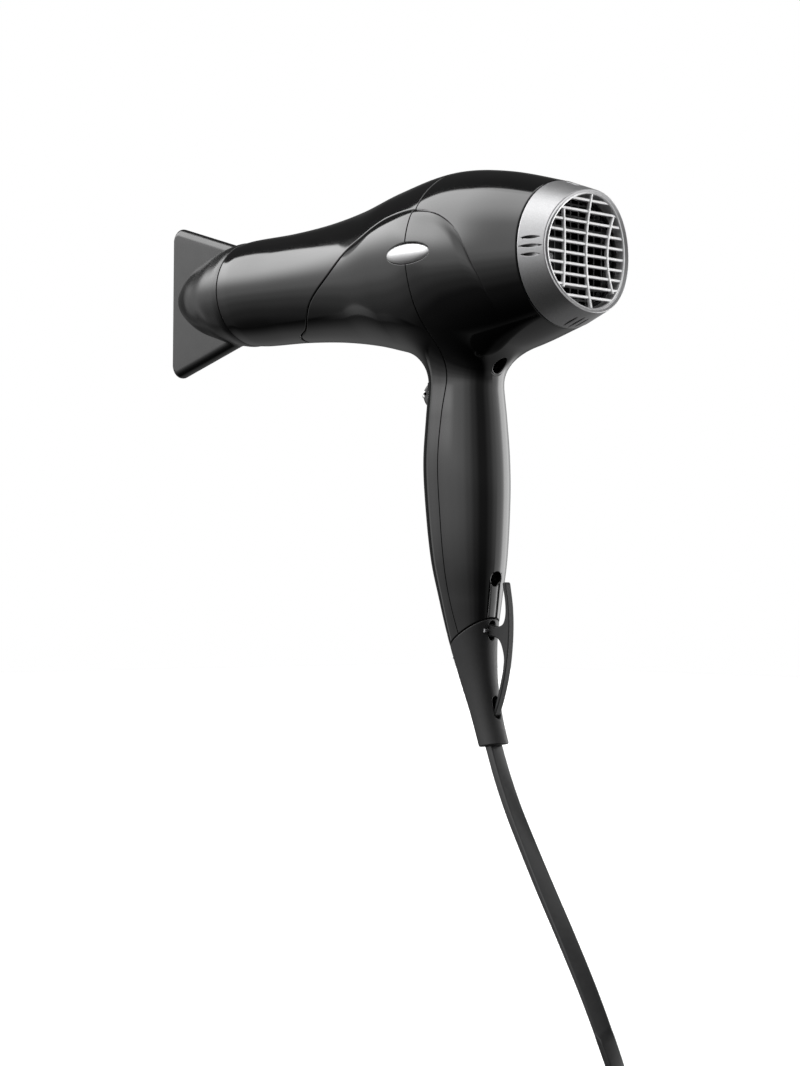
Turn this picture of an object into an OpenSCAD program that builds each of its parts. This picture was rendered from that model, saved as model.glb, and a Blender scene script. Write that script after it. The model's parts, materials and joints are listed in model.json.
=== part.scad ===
// Hand-held hair dryer with a concentrator nozzle, a hanging hook and a flat mains cord.
// The origin is the middle of the handle. X runs along the barrel, from the nozzle to the intake.

/* [Head] */
// Height of the barrel's axis above the grip point
axis_h = 105; // [103:0.5:108]
// Wall thickness of the plastic shells
wall = 2.2; // [1.8:0.1:2.6]
// Radius of the barrel at its mouth
mouth_r = 27.2; // [27:0.1:28]
// Largest radius of the body
body_r = 44.8; // [44:0.2:46]
// Radius of the body where the rear cap meets it
cap_r = 33.9; // [33.5:0.1:34.5]

/* [Nozzle] */
// Length of the nozzle in front of the barrel
nozzle_len = 62.3; // [60:0.1:70]
// Half the height of the nozzle's slit end
nozzle_half_h = 37.2; // [36:0.2:44]
// Outer thickness of the nozzle's flat end
nozzle_t = 9; // [8.6:0.2:11]

/* [Rear cap] */
// Length of the cap at its sides
cap_len = 12.4; // [11:0.2:14]
// How far the cap's rim rises at its top and bottom
cap_dish = 3.6; // [3:0.1:4]
// Number of flat grille bars
bar_count = 10; // [8:1:10]
// Distance between neighbouring grille bars
bar_pitch = 4.9; // [4.8:0.05:5]
// Angle that unlocks the cap's bayonet
cap_turn = 20; // [16:1:30]

/* [Handle] */
// Radius of the screw wells
well_r = 3.4; // [3:0.1:3.6]
// Travel of the power switch
switch_travel = 9; // [6:0.5:10]
// Travel of the cool shot button
button_travel = 1.8; // [1:0.1:2]

/* [Fan] */
// Radius of the fan
fan_r = 30.6; // [29:0.1:30.8]
// Number of fan blades
blade_count = 9; // [7:1:11]

/* [Cord] */
// Width of the flat cord
cord_w = 8.2; // [8:0.1:8.4]
// Thickness of the flat cord
cord_t = 4.2; // [4:0.1:4.4]
// Radius of the plug's pins
pin_r = 2.4; // [2:0.1:2.4]

/* [Hidden] */

eps = 0.01;
// Smoothness of turned surfaces and of small round parts
fine = 96;
small = 32;

// Station lists. The body's are [x, radius]; the handle's are [z, centre x, half length, half width].
body_keys = [
    [-153, mouth_r], [-115, 28], [-85, 30], [-57, 34], [-28, 40.4], [3, body_r], [30, 42.1],
    [62.3, cap_r]];
handle_keys = [
    [-228, 19.6, 7.2, 6.8], [-212, 14, 7.6, 7], [-194, 8.5, 9.7, 8.2], [-176, 4.8, 12.4, 10.4],
    [-158, 3.2, 15.7, 13.2], [-139, 2, 19, 16], [-111, 0.8, 21.3, 17.8], [-92, 0, 21.6, 18.1],
    [-72, -0.3, 20.2, 17], [-54, -0.6, 18.6, 15.8], [-47, -0.6, 20, 16.6], [-40, -0.6, 25.5, 18],
    [-33, -0.6, 29, 19]];
body_front = -153;
body_rear = 62.3;
split_line = [[3, 60], [3, -50], [-1.5, -92], [0.5, -140], [6, -200]];
s_seam = [
    [-115, -32], [-95, -23.3], [-63, -1.6], [-36, 13.6], [-18, 20.9], [-2.4, 22.6], [3, 22.6], [3, 60]];
// The plane between the handle and the cord sleeve, as [x, z] points
sleeve_line = [[-30, -196.6], [40, -153.2]];

cap_face = body_rear + 0.3 + cap_len;
cap_slope = 0.36;
grille_r = 27;
dish_r = (grille_r * grille_r + cap_dish * cap_dish) / (2 * cap_dish);
mouth_x = body_front - nozzle_len;
spigot_r = 25;
spigot_end = body_front - 8;
button_x = 4;
button_z = 1.4;
button_rx = 14.1;
button_rz = 4.7;
knob_z = -60.6;
knob_floor = -16.6;
knob_w = 15.6;
knob_h = 12.2;
stem_w = 4;
well_z = [-48.5, -148.5];
well_floor = 9;
// Where the screw bosses meet the handle's front and rear walls
boss_front = [-18.4, -13];
boss_rear = [18.4, 18.6];
fan_x = 47;
motor_r = 17;
shaft_r = 1.6;
running = 0.06;
// The cool shot button's flange, and the spring between it and its switch
flange_y = -39.4;
spring_len = button_travel + 3;
switch_y = flange_y + spring_len;
// The cap's bayonet: its collar, and the angle that each of its lugs takes up
collar_r = 30.2;
lug_span = cap_turn - 4;
// The hook's root, as [x, z], and its strap
hook_root = [16.4, -172.6];
strap_w = 3.8;
hook_pin_r = 0.9;

// The cord. Its route's points are relative to the barrel's axis, in the order it runs.
floor_z = -430;
exit_point = [19.2, 0, -227.6];
exit_dir = [0.371, 0, -0.9286];
cord_lean = 21.78;
// How far back from the exit the cord is clamped
clamp_back = 47;
lead_route = [
    for (back = [52:-13:0]) exit_point - back * exit_dir,
    [24.6, 0, -241], [31, 0, -254.5], [38.8, 0, -268.5], [51.5, 0, -290], [64.5, 0.5, -312],
    [76.5, 2, -335], [85.5, 5, -358], [90, 10, -378], [88.5, 19, -397], [79, 30, -414],
    [62, 39, -422.5], [42, 45.5, -425.2], [20, 50, -425.2], [0, 52, -425.1]];
coil_mid_r = 46.25;
coil_half = 8.2;
coil_high = 2 * cord_w + 0.4;
tie_t = 0.8;
tail_route = [
    [0, 52, -416.6], [-18, 51.3, -416.9], [-34, 48.5, -418.4], [-48, 45.6, -421], [-60, 44.5, -423.1]];
plug_y = 44.5;
plug_z = -423.1;
plug_x = -60;
pin_gap = 19;
pin_len = 19;
pin_seat = 10;
// How much thinner each pin is inside the plug and at its root
pin_step = 0.4;

// Cubic curve through a station list: column c at position x
function key_below(x, k, i = 0) = i >= len(k) - 2 || x < k[i + 1][0] ? i : key_below(x, k, i + 1);
function key_slope(k, i, c) =
    let (a = max(i - 1, 0), b = min(i + 1, len(k) - 1)) (k[b][c] - k[a][c]) / (k[b][0] - k[a][0]);
function curve(x, k, c = 1) =
    let (
        i = key_below(x, k),
        h = k[i + 1][0] - k[i][0],
        t = (x - k[i][0]) / h,
        m0 = key_slope(k, i, c) * h,
        m1 = key_slope(k, i + 1, c) * h)
    (2 * t * t * t - 3 * t * t + 1) * k[i][c] + (t * t * t - 2 * t * t + t) * m0
        + (3 * t * t - 2 * t * t * t) * k[i + 1][c] + (t * t * t - t * t) * m1;

function unit(v) = v / norm(v);
function arc(c, r, a0, a1, n = 6) =
    [for (i = [0:n]) let (a = a0 + (a1 - a0) * i / n) [c[0] + r * cos(a), c[1] + r * sin(a)]];
function rounded_box(w, h, r) = concat(
    arc([w / 2 - r, h / 2 - r], r, 0, 90), arc([r - w / 2, h / 2 - r], r, 90, 180),
    arc([r - w / 2, r - h / 2], r, 180, 270), arc([w / 2 - r, r - h / 2], r, 270, 360));

// Everything in the head is placed about the barrel's axis
module head() translate([0, 0, axis_h]) children();

// Turned about the barrel's axis, from [radius, x] points
module turned(points) rotate([0, 90, 0]) rotate_extrude($fn = fine) polygon(points);
module rod(x0, x1, r, fn = fine) translate([x0, 0, 0]) rotate([0, 90, 0]) cylinder(x1 - x0, r = r, $fn = fn);
module ring(x0, x1, r_in, r_out) difference() {
    rod(x0, x1, r_out);
    rod(x0 - 1, x1 + 1, r_in);
}

// A side outline, as [x, z] points, drawn through the whole width
module side_slab(points, width = 200) rotate([90, 0, 0])
    linear_extrude(height = width, center = true) polygon(points);

// A closed skin through rings of equal numbers of points
module loft(rings) {
    n = len(rings[0]);
    last = len(rings) - 1;
    polyhedron(
        points = [for (r = rings) each r],
        faces = concat(
            [[for (i = [0:n - 1]) i]],
            [[for (i = [0:n - 1]) last * n + n - 1 - i]],
            [for (k = [0:last - 1]) for (i = [0:n - 1]) let (j = (i + 1) % n)
                each [[k * n + i, (k + 1) * n + i, (k + 1) * n + j],
                      [k * n + i, (k + 1) * n + j, k * n + j]]]),
        convexity = 4);
}

// The handle between two heights, shrunk by inset
function handle_ring(z, inset, n = 18) =
    let (
        x = curve(z, handle_keys, 1),
        a = curve(z, handle_keys, 2) - inset,
        b = curve(z, handle_keys, 3) - inset)
    [for (i = [0:n - 1]) let (q = 360 * i / n) [x + a * cos(q), b * sin(q), z]];
module handle_solid(z0, z1, inset = 0, step = 15) {
    n = ceil((z1 - z0) / step);
    loft([for (i = [0:n]) handle_ring(z0 + (z1 - z0) * i / n, inset)]);
}

// The body as turned about the barrel's axis
module body_solid(x0, x1, inset = 0, step = 9) {
    n = ceil((x1 - x0) / step);
    turned(concat([[0, x0]],
        [for (i = [0:n]) let (x = x0 + (x1 - x0) * i / n) [curve(x, body_keys) - inset, x]],
        [[0, x1]]));
}

module ahead_of_seam() side_slab(concat(s_seam, [[-200, 60], [-200, -32]]));
module ahead_of_split() side_slab(concat(split_line, [[-200, -200], [-200, 60]]));
module above_sleeve() side_slab(concat(sleeve_line, [[90, 60], [-200, 60], [-200, -196.6]]));

module button_hole(grow) translate([button_x, -30, button_z]) rotate([90, 0, 0])
    linear_extrude(height = 30)
        polygon([for (q = [0:10:350]) [(button_rx + grow) * cos(q), (button_rz + grow) * sin(q)]]);

// Body and handle shell before it is split
module housing() difference() {
    union() {
        body_solid(-125, body_rear);
        handle_solid(-204, -33);
    }
    body_solid(-126, body_rear + 0.02, wall);
    handle_solid(-206, -30, wall);
    button_hole(0.35);
}

// A straight boss or hole for each housing screw, along X, with its own end in each list
module screw_line(x0, x1, r) for (i = [0, 1]) translate([0, 0, well_z[i]]) rod(x0[i], x1[i], r, small);

// Three lugs of a bayonet, about the barrel's axis
module lugs(x0, x1, r_in, r_out) intersection() {
    ring(x0, x1, r_in, r_out);
    for (q = [0:120:240]) rotate([q, 0, 0]) translate([x0 - 1, -r_out * tan(lug_span / 2), 0])
        cube([x1 - x0 + 2, 2 * r_out * tan(lug_span / 2), r_out + 1]);
}

// A plate of half thickness r with round edges, which flares towards the mouth and runs past it
module nozzle_plate(r) hull() for (s = [-1, 1]) {
    translate([-160, 0, s * 20.4]) sphere(r, $fn = 24);
    translate([mouth_x - 6, 0, s * (nozzle_half_h + 2)]) sphere(r, $fn = 24);
}
// The nozzle's round part, as distances ahead of the barrel with their radii
nozzle_keys = [
    [0.4, mouth_r], [7, 26.6], [16.5, 24.9], [26, 22], [36, 18.8], [43, 15.4], [49, 11.7], [55, 7.4],
    [57.5, 4.5]];
module nozzle_round(x0, inset) turned(concat([[0, body_front - x0]],
    [for (k = nozzle_keys) if (k[0] >= x0 && k[1] > inset + 0.5) [k[1] - inset, body_front - k[0]]],
    [[0, body_front - 57.5 + inset]]));

module nozzle() color("#3a3a3b") head() difference() {
    union() {
        nozzle_round(0.4, 0);
        intersection() {
            nozzle_plate(nozzle_t / 2);
            translate([mouth_x, -30, -60]) cube([60, 60, 120]);
        }
    }
    rod(spigot_end - 1, body_front + 1, spigot_r + 0.08);
    nozzle_round(7, 1.6);
    nozzle_plate(nozzle_t / 2 - 1.6);
}

module barrel_shell() color("#1b1b1c") head() difference() {
    union() {
        intersection() {
            body_solid(body_front, 10);
            ahead_of_seam();
        }
        rod(spigot_end, body_front + 2, spigot_r);
    }
    body_solid(body_front + 4, 12, wall);
    rod(spigot_end - 1, body_front + 5, spigot_r - 2);
}

module front_housing() color("#161617") head() difference() {
    union() {
        intersection() {
            housing();
            ahead_of_split();
            above_sleeve();
        }
        screw_line(boss_front, [-1.6, 0.4], 4);
        intersection() {
            handle_solid(-84, -46, 0.8);
            track(knob_floor - 3, knob_floor + 2.2, knob_w + 5, knob_h + 5);
        }
    }
    ahead_of_seam();
    screw_line([-14, -12], [10, 10], 1.5);
    track(-30, knob_floor, knob_w + 1.6, knob_h + 1.8);
    track(-30, knob_floor + 3, stem_w + 0.8, 8);
}

// The block that a piece of the power switch, w wide and h high, sweeps over its travel
module track(x0, x1, w, h) translate([x0, -w / 2, knob_z - h / 2 - switch_travel])
    cube([x1 - x0, w, h + switch_travel]);

module rear_housing() color("#161617") head() difference() {
    union() {
        difference() {
            intersection() {
                housing();
                above_sleeve();
            }
            ahead_of_split();
        }
        screw_line([3.4, 1.6], boss_rear, well_r + 1.6);
        lugs(59.4, 60.8, collar_r + 0.4, 33);
    }
    screw_line([-2, -2], [well_floor, well_floor], 1.6);
    screw_line([well_floor, well_floor], [40, 40], well_r);
}

// Space behind the cap's curved rear face, moved in by depth
module behind_face(depth = 0) translate([cap_face - depth + dish_r, 0, 0]) rotate([90, 0, 0])
    cylinder(90, r = dish_r, center = true, $fn = 240);

module rear_cap() color("#9a9a9c") head() difference() {
    x0 = body_rear + 0.3;
    x1 = cap_face + cap_dish + 0.6;
    union() {
        turned([
            [grille_r, x0], [cap_r - 0.8, x0], [cap_r, x0 + 0.8],
            [cap_r - cap_slope * (x1 - x0), x1], [grille_r, x1]]);
        ring(57.2, x0 + 1, collar_r - 1.8, collar_r);
        lugs(57.2, 58.6, collar_r - 0.2, collar_r + 1.6);
    }
    behind_face();
    for (q = [0:90:270]) rotate([q, 0, 0]) for (i = [-1:1])
        rotate([i * 7.2, 0, 0]) translate([x0 + 1.6 + abs(i) * 0.8, 0, 33.4]) rotate([0, 110, 0])
            cylinder(10.4 - abs(i) * 1.6, r = 0.65, $fn = small);
}

module intake_grille() color("#c9c9cb") head() {
    difference() {
        ring(cap_face - 4.2, cap_face + cap_dish, grille_r - 1.1, grille_r);
        behind_face(0.3);
    }
    intersection() {
        rod(cap_face - 6, cap_face + 6, grille_r - 1.1);
        union() {
            for (i = [0:bar_count - 1]) {
                z = (i - (bar_count - 1) / 2) * bar_pitch + 1.1;
                x = cap_face + z * z / (2 * dish_r) - 2.6;
                translate([x, -30, z - 0.65]) cube([2.2, 60, 1.3]);
            }
            for (y = [-14.8, 0, 14.8]) difference() {
                translate([cap_face - 1.8, y - 0.65, -30]) cube([6, 1.3, 60]);
                behind_face(0.5);
            }
        }
    }
}

module filter_mesh() color("#3c3c3e") head() {
    x = cap_face - 6.4;
    ring(x, x + 1.6, grille_r - 2.4, grille_r);
    intersection() {
        rod(x + 0.4, x + 1, grille_r - 2.4);
        union() for (i = [-4:4]) {
            translate([x + 0.4, i * 5.4 - 0.4, -30]) cube([0.6, 0.8, 60]);
            translate([x + 0.4, -30, i * 5.4 - 0.4]) cube([0.6, 60, 0.8]);
        }
    }
}

// An oval dome on a straight skirt, with a flange inside the housing
function oval(grow_x, grow_z, part, h, n = 32) = [
    for (i = [0:n - 1]) let (q = 360 * i / n)
        [(button_rx + grow_x) * part * cos(q), (button_rz + grow_z) * part * sin(q), h]];
dome_base = 42;
dome_rise = 4.1;
module cool_button() color("#c4c4c6") head() translate([button_x, 0, button_z]) rotate([90, 0, 0])
    loft(concat(
        [oval(1.6, 1.4, 1, -flange_y), oval(1.6, 1.4, 1, 1 - flange_y), oval(0, 0, 1, 1 - flange_y)],
        [for (q = [0:16:80]) oval(0, 0, cos(q), dome_base + dome_rise * sin(q))]));

// Four closed turns between the button's flange and its switch
module cool_spring() color("#8f8f91") head() translate([button_x, flange_y, button_z]) rotate([-90, 0, 0])
    for (i = [0:3]) translate([0, 0, 0.45 + i * (spring_len - 0.9) / 3]) rotate_extrude($fn = small)
        translate([2.6, 0]) circle(0.45, $fn = 16);

module cool_switch() color("#2b2b2d") head() translate([button_x - 8, switch_y, button_z]) {
    translate([0, 0, -4]) cube([16, 7, 8]);
    translate([0, 7, -1]) cube([4, 10.4, 2]);
}

module switch_knob() color("#101011") head() translate([0, 0, knob_z]) {
    difference() {
        translate([knob_floor - 0.3, 0, 0]) rotate([0, -90, 0])
            linear_extrude(height = 5.4) polygon(rounded_box(knob_h, knob_w, 3));
        translate([knob_floor - 12, 0, 0]) rotate([90, 0, 0]) difference() {
            cube([12, 30, 40], center = true);
            translate([12, 0, 0]) cylinder(42, r = 9.4, center = true, $fn = fine);
        }
    }
    translate([knob_floor - 0.4, -stem_w / 2, -3.4]) cube([4.6, stem_w, 6.8]);
}

module power_switch() color("#2a2a2c") head() difference() {
    translate([knob_floor + 2.2, -7, -80]) cube([10, 14, 26]);
    track(knob_floor, knob_floor + 4.6, stem_w + 0.8, 8);
}

module circuit_board() color("#2f5d3a") head() {
    translate([-3.4, -9.5, -138]) cube([1.6, 19, 56]);
    translate([-1.8, -6, -134]) cube([6, 7, 9]);
    for (z = [-118, -106, -94]) translate([-1.8, 2.5, z]) rotate([0, 90, 0]) cylinder(5, r = 2, $fn = small);
}

// A tube of elliptical section swept along a route. Its flat side turns by roll degrees.
function along(route, i) = unit(route[min(i + 1, len(route) - 1)] - route[max(i - 1, 0)]);
function mix_roll(rolls, s) = rolls[0] + (rolls[1] - rolls[0]) * s;
function sweep_ring(route, i, w, t, rolls, n) =
    let (
        f = along(route, i),
        side = unit(cross(f, cross([0, 1, 0], f))),
        up = cross(side, f),
        roll = mix_roll(rolls, max(0, (i / (len(route) - 1) - 0.6) / 0.4)),
        u = side * cos(roll) + up * sin(roll),
        v = cross(u, f))
    [for (k = [0:n - 1]) let (q = -360 * k / n) route[i] + u * (w / 2 * cos(q)) + v * (t / 2 * sin(q))];
function rounded_route(route, step = 3) = [
    for (i = [0:len(route) - 2]) for (k = [0:step - 1])
        let (
            t = k / step,
            h = norm(route[i + 1] - route[i]),
            m0 = i == 0 ? route[1] - route[0] : h * unit(route[i + 1] - route[i - 1]),
            m1 = i == len(route) - 2 ? route[i + 1] - route[i] : h * unit(route[i + 2] - route[i]))
        (2 * t * t * t - 3 * t * t + 1) * route[i] + (t * t * t - 2 * t * t + t) * m0
            + (3 * t * t - 2 * t * t * t) * route[i + 1] + (t * t * t - t * t) * m1,
    route[len(route) - 1]];
module tube(route, w, t, rolls = [0, 0], n = 12, step = 2) {
    line = rounded_route(route, step);
    loft([for (i = [0:len(line) - 1]) sweep_ring(line, i, w, t, rolls, n)]);
}

// Wires from the cord to the board, and from the switch to the motor and the heater
function wire_to_board(s) = [
    [-0.1, 2 * s, -179.3], [0.6, 3.4 * s, -170], [0.6, 6.6 * s, -158], [0.4, 7.8 * s, -148],
    [-1, 7.2 * s, -142.5], [-2.6, 6.5 * s, -138]];
wire_to_motor = [
    [-4.4, 4.5, -70], [1, 5, -67], [5, 6.8, -58], [7, 8.2, -47], [7, 9, -38], [6, 10, -24], [2, 9, -17.3]];
wire_to_heater = [
    [-4.4, -4.5, -70], [0, -5.5, -66], [0, -8, -54], [-4, -10, -38], [-18, -10, -24], [-36, -8, -16],
    [-54, -6, -12]];
wires = [wire_to_board(1), wire_to_board(-1), wire_to_motor, wire_to_heater];
module wiring() color("#7a1f1f") head() for (line = wires) tube(line, 2.2, 2.2, n = 8);

module housing_screws() color("#b9b9bb") head() for (z = well_z) translate([0, 0, z]) {
    rod(-11.4, well_floor, 1.45, small);
    difference() {
        rod(well_floor, well_floor + 2.2, 2.9, small);
        for (q = [0, 90]) rotate([q, 0, 0]) translate([well_floor + 1.9, 0, 0])
            cube([1.8, 0.9, 3.6], center = true);
    }
}

module motor() color("#77777a") head() difference() {
    union() {
        rod(-2, 33, motor_r);
        rod(33, 35.5, 6);
    }
    rod(24, 36, shaft_r + running);
}
module motor_shaft() color("#d0d0d2") head() rod(25, 53, shaft_r);
module motor_mount() color("#3c3c40") head() {
    ring(12.4, 56, fan_r + 0.9, 33);
    ring(8, 32, motor_r, motor_r + 1.4);
    ring(30, 32, 32.9, 39.3);
    intersection() {
        for (i = [0:6]) rotate([i * 360 / 7, 0, 0]) translate([10, -0.6, motor_r + 1]) cube([20, 1.2, 20]);
        rod(0, 40, 32.2);
    }
}
module fan() color("#26262a") head() {
    difference() {
        rod(fan_x - 5, fan_x + 5, 9.4);
        rod(fan_x - 6, fan_x + 6, shaft_r);
    }
    intersection() {
        ring(fan_x - 6, fan_x + 6, 9, fan_r);
        for (i = [0:blade_count - 1]) rotate([i * 360 / blade_count, 0, 0]) translate([fan_x, 0, 8])
            rotate([0, 0, 38]) translate([-6.4, -0.7, 0]) cube([12.8, 1.4, 30]);
    }
}

module heater_tube() color("#c9b48a") head() ring(-146, -52, 23.9, 24.5);
module heater_cross() color("#b7a57c") head() {
    translate([-144, -0.4, -23.6]) cube([88, 0.8, 47.2]);
    translate([-144, -23.6, -0.4]) cube([88, 47.2, 0.8]);
}
module heater_coil() color("#a7a09a") head() for (i = [0:8]) translate([-136 + i * 9, 0, 0])
    rotate([0, 90, 0]) rotate_extrude($fn = fine) translate([20, 0]) circle(0.7, $fn = 16);
module thermostat() color("#b5b5b7") head() translate([-70, 0.4, 4]) cube([10, 3, 10]);
module thermal_fuse() color("#d8d4c8") head() translate([0, -2.4, -9]) rod(-78, -66, 2, small);
module outlet_grille() color("#1c1c1d") head() {
    x0 = spigot_end + 1.5;
    x1 = x0 + 2.5;
    ring(x0, x1, 21.4, spigot_r - 2);
    ring(x0, x1, 13.4, 14.6);
    rod(x0, x1, 4.5);
    intersection() {
        ring(x0, x1, 4.4, 21.5);
        for (i = [0:2]) rotate([i * 60, 0, 0]) translate([x0, -0.6, -30]) cube([2.5, 1.2, 60]);
    }
}

module cord_slot(grow) translate(exit_point) rotate([0, -cord_lean, 0]) translate([0, 0, -4])
    linear_extrude(height = 40)
        polygon(rounded_box(cord_t + grow, cord_w + grow, cord_t / 2 + grow / 2 - eps));

// The clamp's frame: X is across the flat cord, from its front face to its rear one
module at_clamp() translate(exit_point - clamp_back * exit_dir) rotate([0, -cord_lean, 0]) children();
module clamp_shanks(x0, x1, r) for (y = [-5.4, 5.4]) translate([x0, y, 0]) rotate([0, 90, 0])
    cylinder(x1 - x0, r = r, $fn = small);

// A round piece across the hook's root, out to half_w on each side
module across_root(half_w, r) translate([hook_root[0], 0, hook_root[1]]) rotate([90, 0, 0])
    cylinder(2 * half_w, r = r, center = true, $fn = small);

module cord_sleeve() color("#2b2b2c") head() difference() {
    union() {
        difference() {
            handle_solid(-227.5, -150, 0, 11);
            handle_solid(-203, -149, wall, 11);
        }
        across_root(4.8, 3.4);
        intersection() {
            handle_solid(-200, -165, 1, 11);
            at_clamp() translate([-12, -9, -3]) cube([12 - cord_t / 2, 18, 6]);
        }
    }
    above_sleeve();
    cord_slot(0.5);
    at_clamp() clamp_shanks(-4.5, 0, 0.8);
    across_root(6, hook_pin_r);
    // Slot for the hook's root and pocket for its lower end
    translate([12.2, -strap_w / 2 - 0.2, -178]) cube([14, strap_w + 0.4, 16]);
    translate([18.8, -strap_w / 2 - 0.2, -214.5]) cube([8, strap_w + 0.4, 12.5]);
}

// The hook's bar runs along [x, z] points; its arm reaches back to the sleeve
hook_line = [[20.4, -212.4], [24.1, -201.6], [27.1, -189.4], [28.5, -172.6], [28.2, -160.5], [26.2, -151]];
module hanging_hook() color("#2b2b2c") head() difference() {
    union() {
        for (i = [0:len(hook_line) - 2]) hook_link(hook_line[i], hook_line[i + 1], i == 0 ? 0.8 : 1.1, 1.1);
        side_slab([
            [16.4, -170.4], [22, -171.2], [27.8, -166.4], [27.8, -181.4], [23, -176], [16.4, -175.4]],
            strap_w);
        across_root(strap_w / 2, 3);
    }
    across_root(6, hook_pin_r);
}
module hook_link(a, b, ra, rb) {
    d = unit(b - a);
    s = [-d[1], d[0]];
    side_slab([a + s * ra, b + s * rb, b - s * rb, a - s * ra], strap_w);
    translate([b[0], 0, b[1]]) rotate([90, 0, 0]) cylinder(strap_w, r = rb, center = true, $fn = small);
}
module hook_pin() color("#c2c2c4") head() across_root(4.8, hook_pin_r);

clamp_t = 1.8;
module cord_clamp() color("#d9d9d6") head() at_clamp() difference() {
    translate([cord_t / 2, -6.6, -2.5]) cube([clamp_t, 13.2, 5]);
    clamp_shanks(0, 9, 0.8);
}
module clamp_screws() color("#b9b9bb") head() at_clamp() {
    clamp_shanks(-4.5, cord_t / 2 + clamp_t, 0.8);
    clamp_shanks(cord_t / 2 + clamp_t, cord_t / 2 + clamp_t + 0.9, 1.2);
}

module cord_lead() color("#2a2a2b") head() tube(lead_route, cord_w, cord_t, [0, 90]);
module cord_coil() color("#2a2a2b") head() coil_ring();
module coil_ring() translate([0, 0, floor_z + tie_t]) rotate_extrude($fn = fine)
    translate([coil_mid_r, coil_high / 2]) polygon(rounded_box(2 * coil_half, coil_high, 2));
module cord_tie() color("#1a1a1b") head() difference() {
    translate([-coil_mid_r, 0, floor_z + tie_t + coil_high / 2])
        cube([2 * coil_half + 2.4, 12, coil_high + 2 * tie_t], center = true);
    coil_ring();
}
module cord_tail() color("#2a2a2b") head() tube(tail_route, cord_w, cord_t, [90, 0]);

// Its strain relief tapers towards the cord, and its front face holds the two pins
plug_relief = 22;
plug_len = 56;
module plug_body() color("#2a2a2b") head() translate([plug_x, plug_y, plug_z]) rotate([0, -90, 0])
    difference() {
        union() {
            cylinder(plug_relief, r1 = 5, r2 = 6.4, $fn = small);
            translate([0, 0, plug_relief - 2]) linear_extrude(height = plug_len - plug_relief + 2)
                polygon(rounded_box(13.8, 34, 6.5));
        }
        for (y = [-1, 1]) translate([0, y * pin_gap / 2, plug_len - pin_seat])
            cylinder(20, r = pin_r - pin_step, $fn = small);
    }
module plug_pins() color("#c8c8ca") head() translate([plug_x - plug_len + pin_seat, plug_y, plug_z])
    for (y = [-1, 1]) translate([0, y * pin_gap / 2, 0]) rotate([0, -90, 0]) {
        cylinder(pin_seat + 1, r = pin_r - pin_step, $fn = small);
        translate([0, 0, pin_seat + 0.4]) cylinder(pin_len - 0.4, r = pin_r, $fn = small);
    }

nozzle();
barrel_shell();
front_housing();
rear_housing();
rear_cap();
intake_grille();
filter_mesh();
cool_button();
cool_spring();
cool_switch();
switch_knob();
power_switch();
circuit_board();
wiring();
housing_screws();
motor();
motor_shaft();
motor_mount();
fan();
heater_tube();
heater_cross();
heater_coil();
thermostat();
thermal_fuse();
outlet_grille();
cord_sleeve();
hanging_hook();
hook_pin();
cord_clamp();
clamp_screws();
cord_lead();
cord_coil();
cord_tie();
cord_tail();
plug_body();
plug_pins();
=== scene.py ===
"""Looks of the hair dryer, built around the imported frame.

Every shape below is worked out in millimetres about the barrel's axis (the head frame), and goes
into the row frame, in metres, when its mesh is made. X runs from the nozzle to the intake.
"""

import json
import math

import bpy
import numpy as np
from mathutils import Matrix, Vector


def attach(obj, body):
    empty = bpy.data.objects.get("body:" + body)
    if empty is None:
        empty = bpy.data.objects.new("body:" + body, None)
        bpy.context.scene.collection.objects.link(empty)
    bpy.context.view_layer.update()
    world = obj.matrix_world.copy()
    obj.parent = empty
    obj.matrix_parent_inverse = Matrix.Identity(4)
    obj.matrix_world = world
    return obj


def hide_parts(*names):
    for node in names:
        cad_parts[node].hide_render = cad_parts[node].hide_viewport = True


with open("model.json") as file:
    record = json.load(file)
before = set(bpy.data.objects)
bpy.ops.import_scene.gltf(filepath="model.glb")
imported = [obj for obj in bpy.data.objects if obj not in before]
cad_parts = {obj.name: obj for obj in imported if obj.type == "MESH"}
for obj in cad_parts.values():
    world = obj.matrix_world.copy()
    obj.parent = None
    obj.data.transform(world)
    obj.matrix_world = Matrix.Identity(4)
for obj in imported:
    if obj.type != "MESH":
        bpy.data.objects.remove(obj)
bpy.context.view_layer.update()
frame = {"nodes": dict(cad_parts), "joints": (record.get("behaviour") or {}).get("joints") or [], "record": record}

MM = 0.001
SWIVEL = next(j for j in frame["joints"] if j["name"] == "nozzle_swivel")
AXIS_Z = SWIVEL["pos_m"][2]
HALF_GAP = 0.2


# --- Curves and fields -------------------------------------------------------------------------

def curve(x, keys, column=1):
    """Cubic curve through a station list: a column at position x."""
    k = np.array(keys, float)
    xs, ys = k[:, 0], k[:, column]
    before = np.maximum(np.arange(len(xs)) - 1, 0)
    after = np.minimum(np.arange(len(xs)) + 1, len(xs) - 1)
    slope = (ys[after] - ys[before]) / (xs[after] - xs[before])
    i = np.clip(np.searchsorted(xs, x, side="right") - 1, 0, len(xs) - 2)
    h = xs[i + 1] - xs[i]
    t = (x - xs[i]) / h
    return (
        (2 * t**3 - 3 * t**2 + 1) * ys[i]
        + (t**3 - 2 * t**2 + t) * h * slope[i]
        + (3 * t**2 - 2 * t**3) * ys[i + 1]
        + (t**3 - t**2) * h * slope[i + 1]
    )


def smooth_path(points, step):
    """Points about step apart on the smooth curve through a list of points."""
    p = np.array(points, float)
    along = np.concatenate([[0], np.cumsum(np.linalg.norm(np.diff(p, axis=0), axis=1))])
    keys = np.column_stack([along, p])
    at = np.linspace(0, along[-1], int(along[-1] / step) + 1)
    at[-1] -= 1e-9
    return np.column_stack([curve(at, keys, c + 1) for c in range(p.shape[1])])


def ease(t):
    t = np.clip(t, 0, 1)
    return t * t * (3 - 2 * t)


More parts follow.
